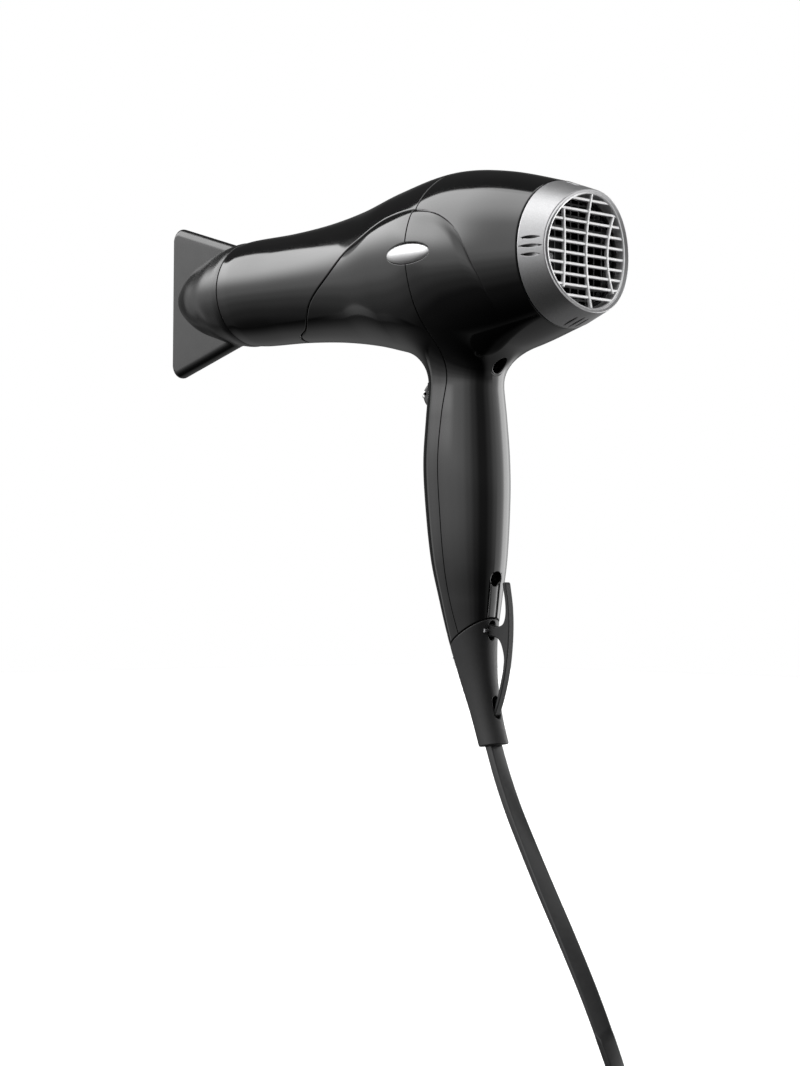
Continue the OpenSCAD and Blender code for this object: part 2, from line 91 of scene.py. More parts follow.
class Side:
    """Signed distance, seen from the side, to a curve through [x, z] points: positive on its left."""

    def __init__(self, points):
        self.line = smooth_path(points, 1.0)
        self.way = np.gradient(self.line, axis=0)
        self.way /= np.linalg.norm(self.way, axis=1)[:, None]

    def __call__(self, p):
        q = p[:, [0, 2]]
        near = np.empty(len(q), int)
        for start in range(0, len(q), 20000):
            part = q[start : start + 20000]
            gap = ((part[:, None] - self.line[None]) ** 2).sum(2)
            near[start : start + 20000] = gap.argmin(1)
        off = q - self.line[near]
        way = self.way[near]
        return way[:, 0] * off[:, 1] - way[:, 1] * off[:, 0]


def gradient(field, p, step=0.02):
    g = np.empty_like(p)
    for k in range(3):
        e = np.zeros(3)
        e[k] = step
        g[:, k] = (field(p + e) - field(p - e)) / (2 * step)
    return g


def settle(p, fields, rounds=3):
    """Points moved onto the zero level of every field."""
    for _ in range(rounds):
        for field in fields:
            g = gradient(field, p)
            p = p - g * (field(p) / np.maximum((g * g).sum(1), 1e-9))[:, None]
    return p


def unit(v):
    return v / np.maximum(np.linalg.norm(v, axis=-1, keepdims=True), 1e-12)


# --- Body and handle as one skin ---------------------------------------------------------------

BODY = [
    (-165, 26.6), (-153, 27.0), (-144, 27.6), (-115, 28), (-85, 30), (-57, 34), (-28, 40.4),
    (3, 44.8), (30, 42.1), (62.3, 33.9), (72, 31)]
HANDLE = [
    (-236, 23, 7.2, 6.8), (-228, 19.6, 7.2, 6.8), (-212, 14, 7.6, 7), (-194, 8.5, 9.7, 8.2),
    (-176, 4.8, 12.4, 10.4), (-158, 3.2, 15.7, 13.2), (-139, 2, 19, 16), (-111, 0.8, 21.3, 17.8),
    (-92, 0, 21.6, 18.1), (-72, -0.3, 20.2, 17), (-54, -0.6, 18.6, 15.8), (-40, -0.6, 18.8, 16),
    (-20, -0.6, 20, 17)]
HANDLE_POWER = 2.2
FILLET = 15
FRONT_X = -153
CAP_X = 62.3
WALL = 2.2
# The seam behind the barrel shell, which runs on as the crest round the button
SEAM = Side([(-121, -44), (-115, -34), (-109, -27.5), (-95, -23.3), (-80, -11.9), (-63, -1.6),
             (-48, 8.4), (-36, 13.6), (-26, 18.2), (-17.6, 20.9), (-2.4, 22.6), (7.3, 21.9),
             (19.1, 18.5), (30, 11.2), (36.3, 2.4), (39.9, -5.4), (43.1, -13.9), (44.6, -24),
             (45, -40)])
SPLIT = Side([(3.2, 62), (3.2, 0), (3, -40), (2, -54), (-0.4, -71), (-1.6, -93), (-0.6, -118),
              (0.5, -140), (1.8, -157), (5.8, -176), (11, -194)])
CREST_RISE = 1.45
CREST_WIDTH = 5.0
GROOVE_DEEP = 0.5
GROOVE_WIDTH = 1.0
SLEEVE_SLOPE = 0.62
SLEEVE_Z = -178
BUTTON = (4.0, 1.4, 14.4, 4.95)
WELLS = [-48.5, -148.5]
WELL_R = 3.4
END_Z, END_SLOPE, END_X = -228, 0.1755, 9.4
HOOK_ROOT = (16.4, -172.6)
POCKET = (-208.5, 5.2)
CHANNEL_HALF = 2.7
CHANNEL_DEEP = 0.7
# Where the seam's groove is rounded: distances from the seam, outside it and inside
SEAM_STEPS = (1.0, 0.6, 0.3, 0.0, -0.2, -0.5, -0.8, -1.2, -1.7, -2.3, -3.0, -3.9, -5.0)


def body_field(p):
    return np.hypot(p[:, 1], p[:, 2]) - curve(np.clip(p[:, 0], -165, 71.9), BODY)


def handle_field(p):
    z = np.clip(p[:, 2], -236, -20.1)
    x, a, b = (curve(z, HANDLE, c) for c in (1, 2, 3))
    q = (np.abs((p[:, 0] - x) / a) ** HANDLE_POWER + np.abs(p[:, 1] / b) ** HANDLE_POWER)
    return np.maximum((q ** (1 / HANDLE_POWER) - 1) * b, p[:, 2] + 18)


def skin_field(p):
    """The body and the handle, blended by a fillet."""
    a, b = body_field(p), handle_field(p)
    h = np.maximum(FILLET - np.abs(a - b), 0) / FILLET
    return np.minimum(a, b) - h * h * FILLET / 4


def sleeve_plane(p):
    return (p[:, 2] - SLEEVE_Z - SLEEVE_SLOPE * p[:, 0]) / math.hypot(1, SLEEVE_SLOPE)


def end_plane(p):
    return END_Z + END_SLOPE * (p[:, 0] - END_X) - p[:, 2]


def button_oval(p):
    """Inside the button's hole, as a distance."""
    x0, z0, rx, rz = BUTTON
    u, v = (p[:, 0] - x0) / rx, (p[:, 2] - z0) / rz
    q = np.hypot(u, v) + 1e-9
    slope = np.hypot(u / rx, v / rz) / q + 1e-9
    return np.where(p[:, 1] < 0, (1 - q) / slope, -50)


def well_round(p, z):
    return np.where(p[:, 0] > 6, WELL_R - np.hypot(p[:, 1], p[:, 2] - z), -50)


def slot_round(p, z, half_z, half_y=2.15):
    """An upright slot with round ends on the handle's rear ridge."""
    off = np.maximum(np.abs(p[:, 2] - z) - (half_z - half_y), 0)
    return np.where(p[:, 0] > 12, half_y - np.hypot(p[:, 1], off), -50)


def crest_rise(p):
    """How far the surface stands up inside the teardrop around the button."""
    into = -SEAM(p)
    inside = np.clip(into / CREST_WIDTH, 0, 1)
    low = ease((p[:, 2] + 8 + 24 * ease((p[:, 0] + 10) / 30)) / 26)
    front = ease((p[:, 0] + 62) / 36)
    right = 1 - 0.25 * ease((p[:, 0] - 8) / 34)
    settled = 1 - 0.6 * ease((into - CREST_WIDTH) / 38)
    return CREST_RISE * np.sqrt(1 - (1 - inside) ** 2) * low * front * right * settled


def groove_depth(p):
    """How far the surface falls away outside the seam and the crest, deepest over the button."""
    outside = SEAM(p)
    high = ease((p[:, 0] + 92) / 45) * (1 - ease((p[:, 0] - 8) / 14))
    fall = (1 - np.clip(outside / GROOVE_WIDTH, 0, 1)) ** 1.6
    return np.where(outside > 0, GROOVE_DEEP * high * fall, 0)


def crest_bank(p):
    """The rear housing's side of the groove, where the crest is moulded and not a seam."""
    inside = -SEAM(p)
    high = 1 - ease((p[:, 0] - 8) / 14)
    return np.where(inside >= 0, GROOVE_DEEP * high * (1 - np.clip(inside / 0.6, 0, 1)), 0)


def channel_depth(p):
    """The flat channel between the lower screw well and the sleeve."""
    across = 1 - ease((np.abs(p[:, 1]) - CHANNEL_HALF) / 0.6)
    along = ease((WELLS[1] + 1 - p[:, 2]) / 1.5)
    return np.where(p[:, 0] > 8, CHANNEL_DEEP * across * along, 0)


def base_mesh(voxel):
    """Triangles all over the skin, from a voxel remesh of its two volumes moved onto the field."""
    verts, faces = [], []

    def add(rings):
        n, start = len(rings[0]), len(verts)
        for ring in rings:
            verts.extend(ring)
        for k in range(len(rings) - 1):
            for i in range(n):
                j = (i + 1) % n
                a, b = start + k * n, start + (k + 1) * n
                faces.append((a + i, a + j, b + j, b + i))
        faces.append(tuple(start + i for i in reversed(range(n))))
        faces.append(tuple(start + (len(rings) - 1) * n + i for i in range(n)))

    turn = np.linspace(0, 2 * math.pi, 72, endpoint=False)
    add([[(x, -curve(x, BODY) * math.sin(q), curve(x, BODY) * math.cos(q)) for q in turn]
         for x in np.arange(-159, 69, 3.0)])
    add([[(curve(z, HANDLE, 1) + curve(z, HANDLE, 2) * math.cos(q),
           curve(z, HANDLE, 3) * math.sin(q), z) for q in turn] for z in np.arange(-234, -20, 3.0)])
    mesh = bpy.data.meshes.new("base")
    mesh.from_pydata(verts, [], faces)
    thing = bpy.data.objects.new("base", mesh)
    bpy.context.scene.collection.objects.link(thing)
    remesh = thing.modifiers.new("remesh", "REMESH")
    remesh.mode = "VOXEL"
    remesh.voxel_size = voxel
    made = thing.evaluated_get(bpy.context.evaluated_depsgraph_get()).to_mesh()
    made.calc_loop_triangles()
    v = np.empty(len(made.vertices) * 3)
    made.vertices.foreach_get("co", v)
    t = np.empty(len(made.loop_triangles) * 3, np.int32)
    made.loop_triangles.foreach_get("vertices", t)
    v, t = v.reshape(-1, 3), t.reshape(-1, 3).astype(int)
    thing.to_mesh_clear()
    bpy.data.objects.remove(thing)
    middle = v[t].mean(1)
    t = t[(middle[:, 0] > -157) & (middle[:, 0] < 66) & (middle[:, 2] > -231.5)]
    v, t = compact(v, t)
    v = settle(v, [skin_field], 4)
    for _ in range(3):
        v = settle(relax(v, t), [skin_field], 2)
    return v, t


def compact(v, t):
    used = np.unique(t)
    new = np.full(len(v), -1)
    new[used] = np.arange(len(used))
    return v[used], new[t]


def relax(v, t):
    """Each inner point halfway to the middle of its neighbours."""
    total, count = np.zeros_like(v), np.zeros(len(v))
    for a, b in ((0, 1), (1, 2), (2, 0)):
        np.add.at(total, t[:, a], v[t[:, b]])
        np.add.at(count, t[:, a], 1)
    fixed = np.unique(np.array(rim_edges(t)))
    moved = 0.5 * v + 0.5 * total / np.maximum(count, 1)[:, None]
    moved[fixed] = v[fixed]
    return moved


def rim_edges(t):
    """Edges with a triangle on one side only, in that triangle's order."""
    e = np.concatenate([t[:, [0, 1]], t[:, [1, 2]], t[:, [2, 0]]])
    key = e[:, 0] * (t.max() + 1) + e[:, 1]
    back = e[:, 1] * (t.max() + 1) + e[:, 0]
    return e[~np.isin(key, back)]


def divide(v, t, field, surface, snap=0.0):
    """The same skin with its triangles cut along the zero level of field."""
    g = field(v)
    if snap:
        near = np.flatnonzero(np.abs(g) < snap)
        v = v.copy()
        v[near] = settle(v[near], [field, surface], 3)
        g = field(v)
    g = np.where(np.abs(g) < 2e-3, 0, g)
    sign = np.sign(g)
    edges = np.sort(np.concatenate([t[:, [0, 1]], t[:, [1, 2]], t[:, [2, 0]]]), axis=1)
    edges = np.unique(edges, axis=0)
    cut = edges[sign[edges[:, 0]] * sign[edges[:, 1]] < 0]
    if not len(cut):
        return v, t
    a, b = g[cut[:, 0]], g[cut[:, 1]]
    new = v[cut[:, 0]] + (v[cut[:, 1]] - v[cut[:, 0]]) * (a / (a - b))[:, None]
    new = settle(new, [field, surface], 3)
    at = {(int(p), int(q)): len(v) + i for i, (p, q) in enumerate(cut)}
    v = np.concatenate([v, new])
    touched = (sign[t].min(1) < 0) & (sign[t].max(1) > 0)
    out = [t[~touched]]
    extra = []
    for tri in t[touched].tolist():
        pairs = [sorted((tri[k], tri[(k + 1) % 3])) for k in range(3)]
        mids = [at.get(tuple(pair)) for pair in pairs]
        found = [k for k in range(3) if mids[k] is not None]
        if len(found) == 1:
            k = found[0]
            p, q, r = tri[k], tri[(k + 1) % 3], tri[(k + 2) % 3]
            extra += [(p, mids[k], r), (mids[k], q, r)]
        elif len(found) == 2:
            k = next(k for k in range(3) if mids[k] is not None and mids[(k + 2) % 3] is not None)
            p, q, r = tri[k], tri[(k + 1) % 3], tri[(k + 2) % 3]
            m, n = mids[k], mids[(k + 2) % 3]
            extra += [(p, m, n), (m, q, n), (q, r, n)]
        else:
            extra.append(tuple(tri))
    out.append(np.array(extra))
    return v, np.concatenate(out)


def keep_below(v, t, field):
    middle = v[t].mean(1)
    return compact(v, t[field(middle) < 0])


BEVEL_TURNS = (0, 22.5, 45, 67.5)


def round_over(s, r):
    """Depth of a quarter-round edge of radius r at distance s from it."""
    s = np.clip(s, 0.02 * r, r)
    return r - np.sqrt(r * r - (r - s) ** 2)


def shell(v, t, surface, edges, extra_depth=None, lines=()):
    """A closed shell piece from a skin. edges are (field, bevel radius) with the kept side below zero.

    Each edge is cut, rounded over and given a rim, and the skin gets an inner face a wall further in.
    """
    for field, r in edges:
        v, t = divide(v, t, field, surface, snap=0.3)
        v, t = keep_below(v, t, field)
    for field in lines:
        v, t = divide(v, t, field, surface)
    for field, r in edges:
        for turn in BEVEL_TURNS:
            s = r * (1 - math.sin(math.radians(turn)))
            v, t = divide(v, t, lambda p: field(p) + s, surface)

    def depth(p):
        d = np.zeros(len(p))
        for field, r in edges:
            s = -field(p)
            d = np.maximum(d, np.where(s < r, round_over(s, r), 0))
        return d + (extra_depth(p) if extra_depth else 0)

    n = unit(gradient(surface, v))
    slope = gradient(depth, v)
    slope -= n * (slope * n).sum(1)[:, None]
    slope *= np.minimum(1, 5 / np.maximum(np.linalg.norm(slope, axis=1), 1e-9))[:, None]
    outer_n = unit(n + slope)
    outer = v - n * depth(v)[:, None]
    inner = v - n * WALL
    rim = rim_edges(t)
    count = len(v)
    faces = t.tolist() + (t[:, ::-1] + count).tolist()
    normals = [outer_n[t].reshape(-1, 3), -n[t[:, ::-1]].reshape(-1, 3)]
    a, b = rim[:, 0], rim[:, 1]
    rims = np.column_stack([b, a, a + count, b + count])
    faces += rims.tolist()
    pts = np.concatenate([outer, inner])
    flat = unit(np.cross(pts[rims[:, 1]] - pts[rims[:, 0]], pts[rims[:, 3]] - pts[rims[:, 0]]))
    normals.append(np.repeat(flat, 4, axis=0))
    return pts, faces, np.concatenate(normals)


# --- Turning shapes into Blender pieces --------------------------------------------------------

def to_row(points):
    p = np.asarray(points, float) * MM
    p[:, 2] += AXIS_Z
    return p


def piece(name, pts, faces, body, look, normals=None, replaced=()):
    mesh = bpy.data.meshes.new(name)
    mesh.from_pydata(to_row(pts).tolist(), [], [list(f) for f in faces])
    mesh.polygons.foreach_set("use_smooth", [True] * len(mesh.polygons))
    if normals is not None:
        mesh.normals_split_custom_set([tuple(n) for n in normals])
    mesh.materials.append(look)
    thing = bpy.data.objects.new(name, mesh)
    bpy.context.scene.collection.objects.link(thing)
    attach(thing, body)
    if replaced:
        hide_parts(*replaced)
    return thing


def joined(*parts):
    """One set of points, faces and corner normals from several."""
    pts, faces, normals, start = [], [], [], 0
    for p, f, n in parts:
        pts.append(np.asarray(p, float))
        faces += [[start + i for i in face] for face in f]
        normals.append(n)
        start += len(p)
    return np.concatenate(pts), faces, np.concatenate(normals)


def face_normals(pts, faces):
    out = np.empty((len(faces), 3))
    for i, f in enumerate(faces):
        q = pts[list(f)]
        out[i] = np.cross(q - q[0], np.roll(q, -1, axis=0) - q[0]).sum(0)
    return unit(out)


def corner_normals(pts, faces, angle=35):
    """Normals for every face corner, smooth across edges under an angle and weighted by area."""
    pts = np.asarray(pts, float)
    flat = face_normals(pts, faces)
    area = np.array([
        np.linalg.norm(np.cross(pts[f[1]] - pts[f[0]], pts[f[2]] - pts[f[0]])) for f in faces])
    around = {}
    for i, f in enumerate(faces):
        for k in f:
            around.setdefault(k, []).append(i)
    limit = math.cos(math.radians(angle))
    out = []
    for i, f in enumerate(faces):
        for k in f:
            near = [j for j in around[k] if flat[i] @ flat[j] > limit]
            out.append((flat[near] * area[near, None]).sum(0))
    return unit(np.array(out))


def tube_faces(rows, n, cap=True):
    """Faces between rings of n points, with flat ends."""
    faces = []
    for k in range(rows - 1):
        for i in range(n):
            j = (i + 1) % n
            faces.append((k * n + i, k * n + j, (k + 1) * n + j, (k + 1) * n + i))
    if cap:
        faces.append(tuple(reversed(range(n))))
        faces.append(tuple((rows - 1) * n + i for i in range(n)))
    return faces


def loop_faces(rows, n):
    """Faces of rings that close on themselves, such as a hoop's sections."""
    return [(k * n + i, k * n + (i + 1) % n, (k + 1) % rows * n + (i + 1) % n, (k + 1) % rows * n + i)
            for k in range(rows) for i in range(n)]


def arc(cx, cy, r, a0, a1, n=8):
    q = np.radians(np.linspace(a0, a1, n))
    return np.column_stack([cx + r * np.cos(q), cy + r * np.sin(q)])


def rounded_box(w, h, r, n=6):
    return np.concatenate([
        arc(w / 2 - r, h / 2 - r, r, 0, 90, n), arc(r - w / 2, h / 2 - r, r, 90, 180, n),
        arc(r - w / 2, r - h / 2, r, 180, 270, n), arc(w / 2 - r, r - h / 2, r, 270, 360, n)])


def outline_normals(o):
    way = unit(np.roll(o, -1, axis=0) - np.roll(o, 1, axis=0))
    return np.column_stack([way[:, 1], -way[:, 0]])


def slab(outline, half, edge, steps=4, place=lambda u, v, w: np.column_stack([u, w, v])):
    """A flat piece with rounded edges: a counter-clockwise outline drawn out to half on each side."""
    o = np.array(outline, float)
    n = outline_normals(o)
    rows = []
    for side in (-1, 1):
        turns = np.linspace(90, 0, steps) if side < 0 else np.linspace(0, 90, steps)
        for q in np.radians(turns):
            ring = o - n * edge * (1 - math.cos(q))
            rows.append((ring, side * (half - edge + edge * math.sin(q)), q, side))
    pts = np.concatenate([place(r[:, 0], r[:, 1], np.full(len(r), w)) for r, w, _, _ in rows])
    norm = np.concatenate([
        place(n[:, 0] * math.cos(q), n[:, 1] * math.cos(q), np.full(len(n), s * math.sin(q)))
        for _, _, q, s in rows])
    faces = tube_faces(len(rows), len(o))
    first = face_normals(pts, faces[:1])[0]
    if first @ norm[faces[0][0]] < 0:
        faces = [tuple(reversed(f)) for f in faces]
    corners = np.concatenate([norm[list(f)] for f in faces])
    return pts, faces, corners


def turned(profile, n):
    """A closed ring turned about the barrel's axis, from a closed loop of [x, radius] points."""
    prof = np.array(profile, float)
    q = np.linspace(0, 2 * math.pi, n, endpoint=False)
    pts = np.concatenate([
        np.column_stack([prof[:, 0], -prof[:, 1] * math.sin(a), prof[:, 1] * math.cos(a)]) for a in q])
    faces = loop_faces(n, len(prof))
    return pts, faces, corner_normals(pts, faces)


# --- Materials ---------------------------------------------------------------------------------

def material(name, color, roughness, metallic=0.0, grain=0.0, grain_size=0.4, vary=0.0, vary_size=12.0,
             specular=0.5, rough_vary=0.0, stretch=(1, 1, 1)):
    """A principled material with fine bump, slow colour changes and uneven roughness.

    Sizes are in millimetres.
    """
    m = bpy.data.materials.new(name)
    m.use_nodes = True
    nodes, links = m.node_tree.nodes, m.node_tree.links
    shader = nodes["Principled BSDF"]
    shader.inputs["Base Color"].default_value = (*color, 1)
    shader.inputs["Roughness"].default_value = roughness
    shader.inputs["Metallic"].default_value = metallic
    shader.inputs["Specular IOR Level"].default_value = specular
    place = nodes.new("ShaderNodeTexCoord")
    scaled = nodes.new("ShaderNodeMapping")
    scaled.inputs["Scale"].default_value = stretch
    links.new(place.outputs["Object"], scaled.inputs["Vector"])

    def noise(size, detail=2.0):
        t = nodes.new("ShaderNodeTexNoise")
        t.inputs["Scale"].default_value = 1 / (size * MM)
        t.inputs["Detail"].default_value = detail
        links.new(scaled.outputs["Vector"], t.inputs["Vector"])
        return t

    def ramp(source, low, high):
        r = nodes.new("ShaderNodeMapRange")
        r.inputs["From Min"].default_value = 0.3
        r.inputs["From Max"].default_value = 0.7
        r.inputs["To Min"].default_value = low
        r.inputs["To Max"].default_value = high
        links.new(source, r.inputs["Value"])
        return r

    if vary:
        mix = nodes.new("ShaderNodeMix")
        mix.data_type = "RGBA"
        dark = [c * (1 - vary) for c in color]
        light = [min(1, c * (1 + vary)) for c in color]
        mix.inputs["A"].default_value = (*dark, 1)
        mix.inputs["B"].default_value = (*light, 1)
        spread = ramp(noise(vary_size, 4).outputs["Fac"], 0, 1)
        links.new(spread.outputs["Result"], mix.inputs["Factor"])
        links.new(mix.outputs["Result"], shader.inputs["Base Color"])
    if rough_vary:
        spread = ramp(noise(vary_size * 0.6, 5).outputs["Fac"], roughness * (1 - rough_vary),
                      roughness * (1 + rough_vary))
        links.new(spread.outputs["Result"], shader.inputs["Roughness"])
    if grain:
        bump = nodes.new("ShaderNodeBump")
        bump.inputs["Strength"].default_value = 1
        bump.inputs["Distance"].default_value = grain * MM
        links.new(noise(grain_size, 3).outputs["Fac"], bump.inputs["Height"])
        links.new(bump.outputs["Normal"], shader.inputs["Normal"])
    return m


BLACK = material("black_plastic", (0.003, 0.003, 0.0031), 0.09, grain=0.001, grain_size=0.9, vary=0.15,
                 rough_vary=0.12, specular=0.8)
NOZZLE = material("nozzle_plastic", (0.0035, 0.0035, 0.0037), 0.24, specular=0.75, grain=0.0006,
                  grain_size=0.6, vary=0.1, rough_vary=0.12)
SILVER = material("silver_paint", (0.4, 0.4, 0.405), 0.4, metallic=0.85, grain=0.006, grain_size=0.35,
                  vary=0.1, vary_size=0.5, rough_vary=0.15)
GRILLE = material("grille_silver", (0.8, 0.8, 0.805), 0.35, metallic=0.5, grain=0.003, grain_size=0.4,
                  vary=0.06, vary_size=1.5, rough_vary=0.15)
SATIN = material("button_satin", (0.75, 0.75, 0.755), 0.36, metallic=0.75, grain=0.002, grain_size=0.3,
                 vary=0.05, vary_size=1.0, rough_vary=0.15)
MATT = material("matt_black", (0.013, 0.013, 0.0135), 0.5, grain=0.012, grain_size=0.45, vary=0.15,
                vary_size=2, rough_vary=0.1)
CORD = material("cord_rubber", (0.016, 0.016, 0.0165), 0.34, specular=0.7, grain=0.01,
                grain_size=0.5, vary=0.15, vary_size=3, rough_vary=0.1)
INNER = material("inner_black", (0.006, 0.006, 0.0065), 0.45, grain=0.01, grain_size=0.5, vary=0.2,
                 vary_size=4, rough_vary=0.1)
STEEL = material("steel", (0.6, 0.6, 0.61), 0.3, metallic=1, grain=0.003, grain_size=0.3, vary=0.06,
                 vary_size=2, rough_vary=0.2, stretch=(1, 1, 6))
PINS = material("pin_chrome", (0.78, 0.78, 0.79), 0.15, metallic=1, grain=0.001, grain_size=0.3,
                vary=0.04, vary_size=2, rough_vary=0.3)
BOARD = material("board_green", (0.02, 0.1, 0.04), 0.35, grain=0.004, grain_size=0.6, vary=0.25,
                 vary_size=3, rough_vary=0.1)
WIRE = material("wire_red", (0.3, 0.02, 0.02), 0.4, grain=0.004, grain_size=0.6, vary=0.1, vary_size=3,
                rough_vary=0.1)
MICA = material("mica", (0.45, 0.36, 0.2), 0.4, grain=0.006, grain_size=1.2, vary=0.3, vary_size=3,
                rough_vary=0.2)
CERAMIC = material("ceramic", (0.7, 0.68, 0.6), 0.45, grain=0.006, grain_size=0.5, vary=0.08,
                   vary_size=2, rough_vary=0.1)

SLOT_MATERIAL = {
    "black_gloss": BLACK, "nozzle_grey": NOZZLE, "silver_paint": SILVER, "grille_silver": GRILLE,
    "button_silver": SATIN, "matt_black": MATT, "cord_rubber": CORD, "inner_black": INNER,
    "steel": STEEL, "brass_pins": PINS, "board_green": BOARD, "wire_red": WIRE, "mica": MICA,
    "ceramic": CERAMIC}

for row in frame["record"]["subparts"]:
    thing = frame["nodes"][row["node"]]
    thing.data.materials.clear()
    thing.data.materials.append(SLOT_MATERIAL[row["material_slot"]])


# --- Shell pieces ------------------------------------------------------------------------------

def well_tube(z, x_out):
    """The inner tube of a screw well, up to the skin, with its floor left open for the screw."""
    ring = np.array([(9, WELL_R), (x_out, WELL_R), (x_out, WELL_R + 1.4), (9, WELL_R + 1.4)])
    q = np.linspace(0, 2 * math.pi, 48, endpoint=False)
    pts = np.concatenate([
        np.column_stack([ring[:, 0], ring[:, 1] * math.sin(a), z + ring[:, 1] * math.cos(a)])
        for a in q])
    faces = [tuple(reversed(f)) for f in loop_faces(48, 4)]
    return pts, faces, corner_normals(pts, faces)


def make_shells():
    v, t = base_mesh(1.7)
    gap = HALF_GAP
    for shift in SEAM_STEPS:
        v, t = divide(v, t, lambda p: SEAM(p) - shift, skin_field)
    ahead = lambda p: -SEAM(p) + gap
    behind = lambda p: SEAM(p) + gap
    split_front = lambda p: SPLIT(p) + gap
    split_rear = lambda p: -SPLIT(p) + gap
    mouth = lambda p: FRONT_X - p[:, 0]
    cap = lambda p: p[:, 0] - CAP_X + 0.25
    above = lambda p: -sleeve_plane(p) + gap
    below = lambda p: sleeve_plane(p) + gap
    rear_extra = lambda p: channel_depth(p) - crest_rise(p) + groove_depth(p) + crest_bank(p)
    parts = {}
    parts["barrel_shell"] = shell(
        v, t, skin_field, [(ahead, 0.3), (split_front, 0.3), (mouth, 0.7)], groove_depth)
    parts["front_housing"] = shell(
        v, t, skin_field,
        [(behind, 0.7), (split_front, 0.3), (above, 0.4), (button_oval, 0.35)],
        lambda p: -crest_rise(p))
    wells = [lambda p, z=z: well_round(p, z) for z in WELLS]
    channel = [lambda p, s=s: np.where(p[:, 2] < WELLS[1] + 3, np.abs(p[:, 1]) - s, 9)
               for s in (CHANNEL_HALF, CHANNEL_HALF + 0.3, CHANNEL_HALF + 0.6)]
    parts["rear_housing"] = shell(
        v, t, skin_field,
        [(split_rear, 0.3), (cap, 0.5), (above, 0.4), (button_oval, 0.35),
         (wells[0], 0.5), (wells[1], 0.5)],
        rear_extra, channel)
    parts["rear_housing"] = joined(
        parts["rear_housing"], well_tube(WELLS[0], 19), well_tube(WELLS[1], 17))
    root = lambda p: slot_round(p, HOOK_ROOT[1], 4.6)
    pocket = lambda p: slot_round(p, *POCKET)
    parts["cord_sleeve"] = shell(
        v, t, skin_field, [(below, 0.5), (end_plane, 0.7), (root, 0.4), (pocket, 0.4)])
    return parts


shells = make_shells()
for name, look, slot in (
        ("barrel_shell", BLACK, "black_gloss"), ("front_housing", BLACK, "black_gloss"),
        ("rear_housing", BLACK, "black_gloss"), ("cord_sleeve", MATT, "matt_black")):
    pts, faces, normals = shells[name]
    piece(name + "_skin", pts, faces, "dryer", look, normals, [name])

# --- Nozzle ------------------------------------------------------------------------------------

BULLET = [(0.2, 26.9), (3, 27.1), (7, 26.6), (16.5, 24.9), (26, 22), (36, 18.8), (43, 15.4), (49, 11.7),
          (53, 8.8), (56, 5.6), (57.4, 3.2)]
MOUTH_X = -215.3
PLATE_HALF = 4.5
MOUTH_ROUND = 3.2
EDGE = 4.2
NOZZLE_WALL = 1.7
PLATE_ROOT = 20.4


def nozzle_section(radius, half_y, half_z, corner):
    """A quarter-by-quarter ring: a circle standing out of the sides of an upright rounded plate."""
    corner = min(corner, half_y - 0.15)
    meet = math.sqrt(max(radius**2 - half_y**2, 0.04))
    meet = min(meet, half_z - corner - 0.5)
    quarter = [(0, half_z), (0.5 * (half_y - corner), half_z)]
    quarter += arc(half_y - corner, half_z - corner, corner, 90, 0, 12).tolist()
    quarter += [(half_y, z) for z in np.linspace(half_z - corner, meet, 9)[1:]]
    start = math.atan2(meet, half_y)
    if radius > half_y + 0.05:
        ends = [(radius * math.cos(q), radius * math.sin(q)) for q in np.linspace(start, 0, 14)[1:]]
    else:
        ends = [(half_y, meet * (1 - k / 13)) for k in range(1, 14)]
    quarter += ends
    q = np.array(quarter)
    q = q * np.maximum(1, radius / np.hypot(q[:, 0], q[:, 1]))[:, None]
    below = q[::-1][1:] * (1, -1)
    half = np.concatenate([q, below])
    other = half[1:-1][::-1] * (-1, 1)
    return np.concatenate([half, other])


PLATE_SLOPE = -0.304
PLATE_LEAN = math.atan(-PLATE_SLOPE)


def plate_edge(x):
    return PLATE_ROOT + PLATE_SLOPE * (x + 160)


def plate_half_z(x, inset=0.0):
    """Half height of the flat plate at x, with round corners at the mouth."""
    r = MOUTH_ROUND
    at_x = MOUTH_X + r
    at_z = plate_edge(at_x) - r / math.cos(PLATE_LEAN)
    if x > at_x + r * math.sin(PLATE_LEAN):
        return plate_edge(x) + EDGE - inset
    return at_z + math.sqrt(max(r * r - (x - at_x) ** 2, 0.0)) + EDGE - inset


def nozzle_shape():
    rows = []

    def row(x, inset, corner):
        bullet = curve(np.clip(FRONT_X - x, 0.2, 57.39), BULLET) if FRONT_X - x < 57.4 else 0.0
        half_y = PLATE_HALF - inset
        half_z = plate_half_z(x, inset)
        if x > -156:
            half_z = min(half_z, 24)
        ring = nozzle_section(max(float(bullet) - inset, 0.0), half_y, half_z, corner)
        rows.append(np.column_stack([np.full(len(ring), x), ring[:, 0], ring[:, 1]]))

    for x in (-153.25, -153.5, -154.5, -156, -158):
        row(x, 0.0 if x < -153.4 else 0.35, EDGE)
    for x in np.arange(-160.5, -211, -1.5):
        row(x, 0.0, EDGE)
    for q in (-19, -8, 5, 20, 35, 50, 65, 80):
        row(MOUTH_X + MOUTH_ROUND * (1 - math.sin(math.radians(q))), 0.0, EDGE)
    row(MOUTH_X, 0.5, EDGE - 0.4)
    row(MOUTH_X, 1.4, EDGE - 1.4)
    row(MOUTH_X + 0.5, NOZZLE_WALL, EDGE - 1.6)
    for x in (-212, -208, -204, -200, -196, -190, -180, -170, -160, -154):
        row(x, NOZZLE_WALL, EDGE - 1.6)
    n = len(rows[0])
    pts = np.concatenate(rows)
    faces = loop_faces(len(rows), n)
    middle = face_normals(pts, faces[5 * n + n // 4 : 5 * n + n // 4 + 1])[0]
    if middle[1] < 0:
        faces = [tuple(reversed(f)) for f in faces]
    return pts, faces, corner_normals(pts, faces, 28)


